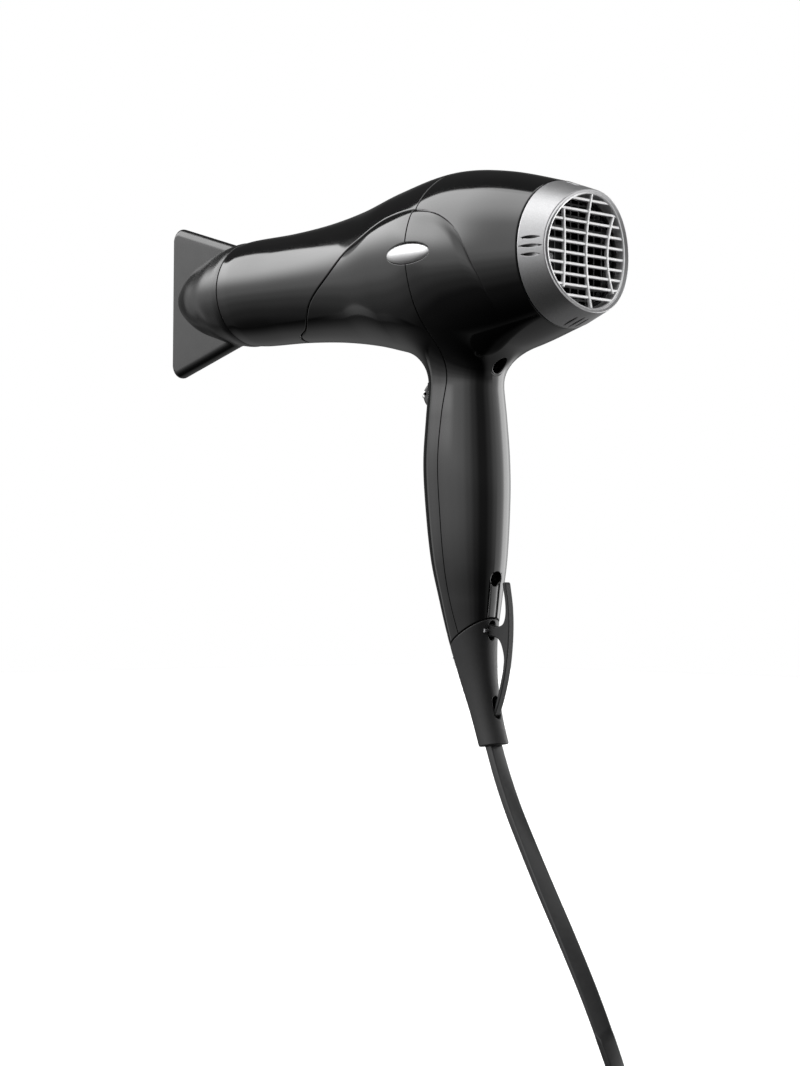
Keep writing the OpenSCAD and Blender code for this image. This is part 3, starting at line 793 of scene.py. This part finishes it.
pts, faces, normals = nozzle_shape()
piece("nozzle_skin", pts, faces, "nozzle", NOZZLE, normals, ["nozzle"])
pts, faces, normals = turned([(-153.4, 25.2), (-153.4, 23.4), (-160.8, 23.4), (-160.8, 25.0)], 96)
piece("nozzle_collar", pts, faces, "nozzle", NOZZLE, normals)

# --- Rear cap and grille -----------------------------------------------------------------------

CAP_FACE = 75.0
CAP_R = 33.9
CAP_SIDES = 288
VENT_HALF = 0.72
CAP_SLOPE = 0.36
DISH_R = 103.0
GRILLE_R = 27.0


def cap_field(p):
    """The cap's cone, from the rear housing to the dished face."""
    r = CAP_R - CAP_SLOPE * (p[:, 0] - CAP_X - 0.3)
    return (np.hypot(p[:, 1], p[:, 2]) - r) / math.hypot(1, CAP_SLOPE)


def vent(q, offset, x0, x1):
    """A lens-shaped slot along the cap, at the angle q about the axis and offset sideways."""
    up = np.array([0, -math.sin(q), math.cos(q)])
    side = np.array([0, math.cos(q), math.sin(q)])
    middle, half = (x0 + x1) / 2, (x1 - x0) / 2

    def field(p):
        s = p @ side - offset
        t = (p[:, 0] - middle) / half
        bow = (1 - t * t) * VENT_HALF
        return np.where(p @ up > 10, np.where(np.abs(t) < 1.3, bow - np.abs(s), -5), -50)
    return field


def cap_shape():
    xs = np.arange(CAP_X + 0.1, 82, 0.55)
    turns = (np.arange(CAP_SIDES) + 0.5) * 2 * math.pi / CAP_SIDES
    pts = []
    for x in xs:
        r = CAP_R - CAP_SLOPE * (x - CAP_X - 0.3)
        pts.append(np.column_stack([np.full(CAP_SIDES, x), -r * np.sin(turns), r * np.cos(turns)]))
    v = np.concatenate(pts)
    t = []
    for a, b, c, d in tube_faces(len(xs), CAP_SIDES, cap=False):
        t += [(a, b, c), (a, c, d)]
    t = np.array(t)
    if np.cross(v[t[0, 1]] - v[t[0, 0]], v[t[0, 2]] - v[t[0, 0]]) @ (v[t[0, 0]] * (0, 1, 1)) < 0:
        t = t[:, ::-1]
    front = lambda p: CAP_X + 0.35 - p[:, 0]
    face = lambda p: p[:, 0] - CAP_FACE - p[:, 2] ** 2 / (2 * DISH_R)
    edges = [(front, 0.5), (face, 0.45)]
    for q in (0, 90, 180, 270):
        edges += [(vent(math.radians(q), o, a, b), 0.22)
                  for o, a, b in ((0, 63.5, 74.3), (3.9, 64.2, 73.2), (-3.9, 64.2, 73.2))]
    return shell(v, t, cap_field, edges)


pts, faces, normals = cap_shape()
piece("rear_cap_skin", pts, faces, "cap", SILVER, normals, ["rear_cap"])
pts, faces, normals = turned(
    [(CAP_X + 0.6, GRILLE_R - 1), (CAP_FACE - 4.3, GRILLE_R - 1), (CAP_FACE - 4.3, 28.6),
     (CAP_X + 0.6, 29)], 96)
piece("cap_liner", pts, faces, "cap", SATIN, normals)


def dish_x(z):
    return CAP_FACE + z * z / (2 * DISH_R)


def beam(path, across, half_w, half_t, edge=0.3):
    """A rounded bar along a path, with its width along across and its depth at right angles."""
    path = np.array(path, float)
    way = unit(np.gradient(path, axis=0))
    side = unit(np.array(across, float) - way * (way @ np.array(across, float))[:, None])
    deep = np.cross(way, side)
    ring = rounded_box(2 * half_w, 2 * half_t, edge, 4)
    pts = np.concatenate([
        p + side[i] * ring[:, :1] + deep[i] * ring[:, 1:] for i, p in enumerate(path)])
    faces = tube_faces(len(path), len(ring))
    faces = [tuple(reversed(f)) for f in faces]
    if face_normals(pts, faces[:1])[0] @ (pts[faces[0][0]] - path[0]) < 0:
        faces = [tuple(reversed(f)) for f in faces]
    return pts, faces, corner_normals(pts, faces, 50)


def grille_shape():
    parts = []
    reach = GRILLE_R - 0.6
    for i in range(10):
        z = (i - 4.5) * 4.9 + 1.1
        y = math.sqrt(reach**2 - z * z)
        x = dish_x(z) - 1.75
        parts.append(beam([(x, -y, z), (x, 0, z), (x, y, z)], (0, 0, 1), 0.66, 1.15, 0.32))
    for middle, end in ((-14.75, -17.9), (0, 0), (14.75, 17.9)):
        path = []
        for z in np.linspace(-26.5, 26.5, 25):
            y = middle + (end - middle) * (z / 20.5) ** 2
            if math.hypot(y, z) < GRILLE_R - 0.4:
                path.append((dish_x(z) - 1.15, y, z))
        parts.append(beam(path, (0, 1, 0), 0.66, 0.8, 0.3))
    rim = []
    for q in np.linspace(0, 2 * math.pi, 144, endpoint=False):
        y, z = math.sin(q), math.cos(q)
        back = CAP_FACE - 4.2
        rim.append([(back, GRILLE_R - 1.15), (back, GRILLE_R - 0.03),
                    (dish_x(z * 27) - 0.35, GRILLE_R - 0.03), (dish_x(z * 27) - 0.15, GRILLE_R - 0.3),
                    (dish_x(z * 26) - 0.2, GRILLE_R - 0.9),
                    (dish_x(z * 26) - 0.5, GRILLE_R - 1.15)])
        rim[-1] = [(x, -r * y, r * z) for x, r in rim[-1]]
    pts = np.array(rim).reshape(-1, 3)
    faces = loop_faces(144, 6)
    if face_normals(pts, faces[1:2])[0] @ (pts[faces[1][0]] * (0, 1, 1)) < 0:
        faces = [tuple(reversed(f)) for f in faces]
    parts.append((pts, faces, corner_normals(pts, faces)))
    return joined(*parts)


pts, faces, normals = grille_shape()
piece("grille_skin", pts, faces, "cap", GRILLE, normals, ["intake_grille"])

# --- Button and slide switch -------------------------------------------------------------------


def dome_shape():
    """The oval dome, from its flange under the skin to its top."""
    x0, z0 = BUTTON[:2]
    rows, n = [], 64
    steps = [(1.6, 1.4, 1, -39.4), (1.6, 1.4, 1, -40.4), (0, 0, 1, -40.4)]
    steps += [(0, 0, math.cos(math.radians(q)), -44.0 - 3.0 * math.sin(math.radians(q)))
              for q in (0, 6, 12, 18, 24, 30, 37, 44, 52, 60, 68, 76, 83, 88)]
    for gx, gz, part, y in steps:
        q = np.linspace(0, 2 * math.pi, n, endpoint=False)
        rows.append(np.column_stack([
            x0 + (14.1 + gx) * part * np.cos(q), np.full(n, y), z0 + (4.7 + gz) * part * np.sin(q)]))
    pts = np.concatenate(rows)
    faces = [tuple(reversed(f)) for f in tube_faces(len(rows), n)]
    if face_normals(pts, faces[-1:])[0][1] > 0:
        faces = [tuple(reversed(f)) for f in faces]
    return pts, faces, corner_normals(pts, faces, 30)


pts, faces, normals = dome_shape()
piece("cool_button_skin", pts, faces, "button", SATIN, normals, ["cool_button"])

KNOB_Z = -60.6
KNOB_X = -16.02
KNOB_R = 6.28


def knob_slice(radius, top, low, back, half_w, edge):
    """A slice of the knob's round back, between two angles above and below its middle."""
    face = arc(KNOB_X, KNOB_Z, radius, 180 - top, 180 + low, 24)
    return slab(np.concatenate([face, np.array(back)]), half_w, edge, 6)


back = knob_slice(KNOB_R, 76, 76, [(-16.9, KNOB_Z - 6.1), (-16.9, KNOB_Z + 6.1)], 7.8, 1.7)
stem = slab([(-20, -2), (-12.6, -2), (-12.6, 2), (-20, 2)], 3.3, 0.2,
            place=lambda u, v, w: np.column_stack([u, v, w + KNOB_Z]))
pts, faces, normals = joined(back, stem)
piece("switch_knob_skin", pts, faces, "knob", BLACK, normals, ["switch_knob"])
# Painted highlight: a satin silver band over the knob's round face, where the glossy knob catches a bright band of
# light.
pts, faces, normals = knob_slice(
    KNOB_R + 0.1, 28, 12, [(-18.4, KNOB_Z - 0.9), (-18.4, KNOB_Z + 2.4)], 7.85, 1.7)
piece("knob_painted_highlight", pts, faces, "knob", SATIN, normals)

# --- Hanging hook ------------------------------------------------------------------------------


def hook_shape():
    """The sprung bar with its arm and root, from the side, filled between curved outlines."""
    outer = smooth_path([(20.9, -213.0), (24.9, -202.2), (27.9, -190), (29.5, -175), (29.2, -162),
                         (27.3, -150.6)], 1.5)
    tip = [(26.7, -150.0), (25.5, -150.2)]
    inner_top = smooth_path([(25.3, -150.9), (26.9, -159), (27.1, -165.2), (25.7, -169.3),
                             (22.6, -170.7), (18.8, -170.4)], 1.0)
    root = arc(HOOK_ROOT[0], HOOK_ROOT[1], 2.9, 60, 300, 14)
    inner_low = smooth_path([(18.8, -175.3), (22.8, -176.6), (25.2, -180.4), (26.4, -187),
                             (23.4, -200.6), (19.9, -211.6)], 1.0)
    line = np.concatenate([outer, tip, inner_top, root, inner_low])
    return slab(line, 1.9, 0.55, 5)


pts, faces, normals = hook_shape()
piece("hanging_hook_skin", pts, faces, "dryer", MATT, normals, ["hanging_hook"])

# --- Cord, coil and plug -----------------------------------------------------------------------

CORD_W, CORD_T, CORD_EDGE = 8.2, 4.2, 0.9
EXIT = np.array([19.2, 0, -227.6])
EXIT_WAY = np.array([0.371, 0, -0.9286])
LEAD = [
    (24.6, 0, -241), (31, 0, -254.5), (38.8, 0, -268.5), (51.5, 0, -290), (64.5, 0.5, -312),
    (76.5, 2, -335), (85.5, 5, -358), (90, 10, -378), (88.5, 19, -397), (79, 30, -414),
    (62, 39, -422.5), (42, 45.5, -425.2), (20, 50, -425.2)]
LEAD_ROLL = (3, 6, 12, 22, 30, 38, 46, 54, 62, 70, 78, 85, 90)
TAIL = [(-18, 51.3, -416.9), (-34, 48.5, -418.4), (-48, 45.6, -421), (-60, 44.5, -423.1)]
COIL_OUT, COIL_IN = 52.0, 40.5
COIL_TURNS = 2.5
COIL_LOW, COIL_HIGH = -425.1, -416.7


def cord_route():
    """The centreline with the roll of its broad side, in degrees."""
    pts = [(*(EXIT - 3 * EXIT_WAY), 0), (*EXIT, 0)]
    for p, roll in zip(LEAD, LEAD_ROLL):
        pts.append((*p, roll))
    for k in range(int(COIL_TURNS * 24) + 1):
        part = k / (COIL_TURNS * 24)
        a, r = math.radians(90 + 360 * COIL_TURNS * part), COIL_OUT + (COIL_IN - COIL_OUT) * part
        pts.append((r * math.cos(a), r * math.sin(a), COIL_LOW, 90))
    climb = 8
    for k in range(1, climb):
        a = math.radians(90 + 360 * COIL_TURNS + 60 * k / climb)
        z = COIL_LOW + (COIL_HIGH - COIL_LOW) * float(ease(k / climb))
        pts.append((COIL_IN * math.cos(a), COIL_IN * math.sin(a), z, 90))
    begin = 90 + 360 * COIL_TURNS + 60
    turns = COIL_TURNS - 60 / 360
    count = int(turns * 24)
    for k in range(count + 1):
        part = k / count
        a, r = math.radians(begin + 360 * turns * part), COIL_IN + (COIL_OUT - COIL_IN) * part
        pts.append((r * math.cos(a), r * math.sin(a), COIL_HIGH, 90))
    for i, p in enumerate(TAIL):
        pts.append((*p, 90 * (1 - float(ease((i + 1) / len(TAIL))))))
    return smooth_path(pts, 2.5)


def cord_shape(route):
    line, roll = route[:, :3], np.radians(route[:, 3])
    way = unit(np.gradient(line, axis=0))
    ring = rounded_box(CORD_W, CORD_T, CORD_EDGE, 5)
    ahead = np.array([0.0, 1.0, 0.0])
    rows = []
    for i, p in enumerate(line):
        flat = unit(ahead - way[i] * (ahead @ way[i]))
        if abs(way[i] @ ahead) > 0.2 or i > 60:
            level = unit(np.cross(way[i], (0, 0, 1.0)) if abs(way[i][2]) < 0.97 else flat)
            if level @ flat < 0 and i < 61:
                level = -level
            part = float(ease((abs(way[i] @ ahead) - 0.2) / 0.2)) if i < 61 else 1.0
            flat = unit(flat * (1 - part) + level * part)
            flat = unit(flat - way[i] * (flat @ way[i]))
        rows.append((p, flat, np.cross(way[i], flat)))
    pts = []
    last = rows[0][1]
    for (p, flat, up), q in zip(rows, roll):
        if flat @ last < 0:
            flat, up = -flat, -up
        last = flat
        wide = flat * math.cos(q) + up * math.sin(q)
        thin = -flat * math.sin(q) + up * math.cos(q)
        pts.append(p + wide * ring[:, :1] + thin * ring[:, 1:])
    pts = np.concatenate(pts)
    faces = tube_faces(len(rows), len(ring))
    if face_normals(pts, faces[:1])[0] @ (pts[faces[0][0]] - line[0]) < 0:
        faces = [tuple(reversed(f)) for f in faces]
    return pts, faces


route = cord_route()
pts, faces = cord_shape(route)
cord = piece("mains_cord", pts, faces, "dryer", CORD, None,
             ["cord_lead", "cord_coil", "cord_tail"])
path = to_row(route[:, :3])
to_row([EXIT])[0].tolist()

for name, width in (("plug_body", 1.6), ("plug_pins", 0.5), ("cord_tie", 0.35), ("cord_clamp", 0.3)):
    soft = frame["nodes"][name].modifiers.new("bevel", "BEVEL")
    soft.width = width * MM
    soft.segments = 3
    soft.limit_method = "ANGLE"
    soft.angle_limit = math.radians(50)

# --- Camera, light and floor -------------------------------------------------------------------

LENS = 80.409
DISTANCE = 1133.85


def make_camera():
    """The view that the fitted ellipses give: azimuth 45.36, elevation -1.55, roll 0.41 degrees."""
    az, el, roll = (math.radians(a) for a in (45.36, -1.55, 0.41))
    toward = Vector((math.sin(az) * math.cos(el), -math.cos(az) * math.cos(el), math.sin(el)))
    right = Vector((math.cos(az), math.sin(az), 0))
    up = toward.cross(right)
    right, up = (
        right * math.cos(roll) + up * math.sin(roll), up * math.cos(roll) - right * math.sin(roll))
    target = -32.27 * right - 126.56 * up
    place = (target + DISTANCE * toward) * MM + Vector((0, 0, AXIS_Z))
    data = bpy.data.cameras.new("camera")
    data.sensor_width = 36
    data.lens = LENS
    data.clip_start = 0.01
    cam = bpy.data.objects.new("camera", data)
    bpy.context.scene.collection.objects.link(cam)
    cam.matrix_world = Matrix((
        (right.x, up.x, toward.x, place.x), (right.y, up.y, toward.y, place.y),
        (right.z, up.z, toward.z, place.z), (0, 0, 0, 1)))
    bpy.context.scene.camera = cam


FLOOR_Z = AXIS_Z - 0.430


def make_floor():
    """A white floor that only the camera sees, so that the world alone lights the object."""
    s = 6.0
    mesh = bpy.data.meshes.new("floor")
    mesh.from_pydata(
        [(-s, -s, FLOOR_Z), (s, -s, FLOOR_Z), (s, s, FLOOR_Z), (-s, s, FLOOR_Z)], [], [(0, 1, 2, 3)])
    floor = bpy.data.objects.new("floor", mesh)
    bpy.context.scene.collection.objects.link(floor)
    m = bpy.data.materials.new("floor_white")
    m.use_nodes = True
    shader = m.node_tree.nodes["Principled BSDF"]
    shader.inputs["Base Color"].default_value = (0.85, 0.85, 0.85, 1)
    shader.inputs["Roughness"].default_value = 0.9
    shader.inputs["Emission Color"].default_value = (1, 1, 1, 1)
    shader.inputs["Emission Strength"].default_value = 0.4
    mesh.materials.append(m)
    floor.visible_glossy = False
    floor.visible_diffuse = False
    floor.visible_shadow = False
    floor.visible_transmission = False


# Each list is (where along the range, light there), with FULL as the strength of light 1.
AROUND = [(0, 0.12), (0.09, 0.21), (0.16, 0.27), (0.215, 0.27), (0.265, 0.24), (0.32, 0.155),
          (0.376, 0.07), (0.43, 0.025), (0.48, 0.024), (0.53, 0.062), (0.585, 0.15), (0.625, 0.22),
          (0.65, 0.32), (0.68, 0.75), (0.74, 0.6), (0.8, 0.2), (0.85, 0.02), (1, 0.01)]
UPWARD = [(0, 0.0), (0.17, 0.04), (0.25, 0.13), (0.35, 0.27), (0.42, 0.45), (0.5, 0.8), (0.56, 1.0),
          (1, 1.0)]
FULL = 5.0


def make_world():
    """The studio that the glossy body reflects: a tall softbox at the front left, one behind right."""
    world = bpy.data.worlds.new("studio")
    bpy.context.scene.world = world
    world.use_nodes = True
    nodes, links = world.node_tree.nodes, world.node_tree.links
    nodes.clear()
    coord = nodes.new("ShaderNodeTexCoord")
    split = nodes.new("ShaderNodeSeparateXYZ")
    links.new(coord.outputs["Generated"], split.inputs[0])
    x, y, z = split.outputs

    def ramp(source, a, b, low=0.0, high=1.0, kind="SMOOTHSTEP"):
        r = nodes.new("ShaderNodeMapRange")
        r.interpolation_type = kind
        for name, value in (("From Min", a), ("From Max", b), ("To Min", low), ("To Max", high)):
            r.inputs[name].default_value = value
        links.new(source, r.inputs["Value"])
        return r.outputs["Result"]

    def calc(op, *values):
        n = nodes.new("ShaderNodeMath")
        n.operation = op
        for i, v in enumerate(values):
            if isinstance(v, (int, float)):
                n.inputs[i].default_value = v
            else:
                links.new(v, n.inputs[i])
        return n.outputs[0]

    def profile(source, stops):
        r = nodes.new("ShaderNodeValToRGB")
        r.color_ramp.interpolation = "EASE"
        marks = r.color_ramp.elements
        for i, (at, level) in enumerate(stops):
            mark = marks[i] if i < 2 else marks.new(at)
            mark.position = at
            mark.color = (level, level, level, 1)
        links.new(source, r.inputs[0])
        return r.outputs[0]

    # The turn about Z, from -X round by the front, 0 to 1
    turn = calc("FRACT", calc("ADD", calc("DIVIDE", calc("ARCTAN2", y, x), 2 * math.pi), 1.5))
    around = calc("MULTIPLY", profile(turn, AROUND), FULL)
    upward = profile(ramp(z, -1, 1, kind="LINEAR"), UPWARD)
    # The front light ends at an upright plane that leans back to the right
    beyond = calc("SUBTRACT", calc("SUBTRACT", y, calc("MULTIPLY", x, 0.4)), 0.245)
    ahead = ramp(beyond, 0.015, -0.015)
    behind = ramp(beyond, -0.015, 0.015)
    front = calc("MULTIPLY", calc("MULTIPLY", around, upward), ahead)
    softbox = calc("MULTIPLY", calc("MULTIPLY", ramp(x, -0.2, -0.5), ahead),
                   calc("MULTIPLY", ramp(z, 0.08, 0.45), ramp(z, 0.95, 0.5, 1.6, 3.3)))
    above = calc("MULTIPLY", calc("MULTIPLY", ramp(z, 0.6, 0.92), ahead), 1.4)
    level = calc("MULTIPLY", ramp(z, -0.55, -0.2), ramp(z, 0.5, 0.25))
    right = calc("MULTIPLY", calc("MULTIPLY", around, level), behind)
    dark = calc("MULTIPLY", behind, ramp(z, 0.0, 0.75, 0.01, 0.06))
    below = calc("MULTIPLY", calc("MULTIPLY", ramp(y, -0.1, 0.35), ramp(z, 0.0, -0.5)), 0.2)
    total = 0.0
    for part in (front, softbox, above, right, dark, below):
        total = calc("ADD", part, total)
    seen = nodes.new("ShaderNodeLightPath")
    final = nodes.new("ShaderNodeMix")
    final.data_type = "FLOAT"
    links.new(seen.outputs["Is Camera Ray"], final.inputs[0])
    links.new(total, final.inputs[2])
    final.inputs[3].default_value = 1.0
    shade = nodes.new("ShaderNodeBackground")
    shade.inputs["Color"].default_value = (1, 1, 1, 1)
    links.new(final.outputs[0], shade.inputs["Strength"])
    out = nodes.new("ShaderNodeOutputWorld")
    links.new(shade.outputs[0], out.inputs[0])


make_camera()
make_floor()
make_world()
bpy.context.scene.view_settings.view_transform = "Standard"
